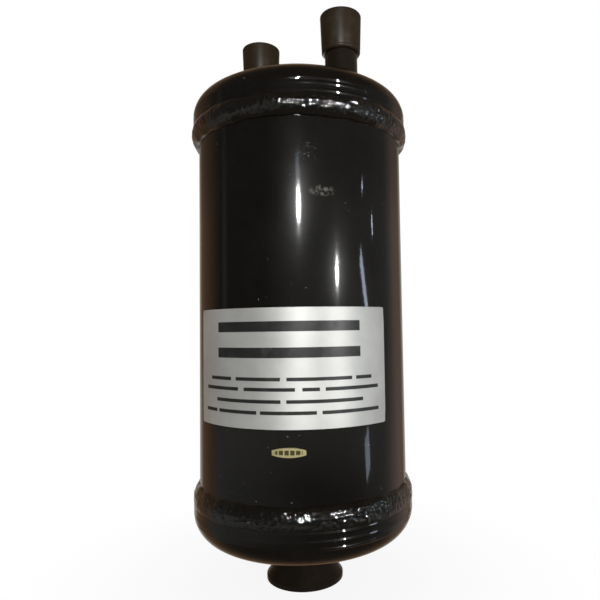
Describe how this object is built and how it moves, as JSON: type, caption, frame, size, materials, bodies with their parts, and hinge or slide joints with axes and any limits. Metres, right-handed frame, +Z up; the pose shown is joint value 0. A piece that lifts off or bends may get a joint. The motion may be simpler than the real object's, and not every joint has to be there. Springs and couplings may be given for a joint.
{
  "type": "suction line accumulator",
  "caption": "Welded black steel vessel with domed heads, capped connection stubs on top, a flared mounting cup below and an oil-returning U-tube inside.",
  "frame": {"origin": "centre of the mounting cup's rim, in the plane that the vessel stands on", "axes": "+Z up along the vessel's axis, -Y towards the labelled front, +X to the right of that front"},
  "size_m": [0.1094, 0.1094, 0.2772],
  "materials": {
    "black_enamel": "gloss black enamel with a fine orange peel",
    "painted_weld": "gloss black enamel over a rough rippled weld bead",
    "satin_enamel": "satin brown-black paint",
    "cap_plastic": "matte dark grey moulded plastic",
    "bare_steel": "bare drawn steel",
    "brass": "bare brass",
    "label_foil": "satin silver foil",
    "sticker_foil": "pale gold foil"
  },
  "bodies": {
    "vessel": {"shell": "black_enamel", "top_head": "black_enamel", "bottom_head": "black_enamel", "top_girth_weld": "painted_weld", "bottom_girth_weld": "painted_weld", "inlet_stub": "black_enamel", "outlet_stub": "black_enamel", "inlet_stub_weld": "painted_weld", "outlet_stub_weld": "painted_weld", "inlet_tube": "bare_steel", "u_tube": "bare_steel", "support_plate": "bare_steel", "orifice_fitting": "brass", "oil_screen": "brass", "screen_cap": "brass", "mounting_cup": "satin_enamel", "mounting_nut": "bare_steel", "cup_weld": "painted_weld", "label": "label_foil", "sticker": "sticker_foil"},
    "inlet_cap": {"inlet_cap": "cap_plastic"},
    "outlet_cap": {"outlet_cap": "cap_plastic"}
  },
  "joints": [
    {"name": "inlet_cap_pull", "type": "slide", "parent": "vessel", "child": "inlet_cap", "axis": [0, 0, 1], "range_m": [0, 0.06]},
    {"name": "outlet_cap_pull", "type": "slide", "parent": "vessel", "child": "outlet_cap", "axis": [0, 0, 1], "range_m": [0, 0.06]}
  ]
}
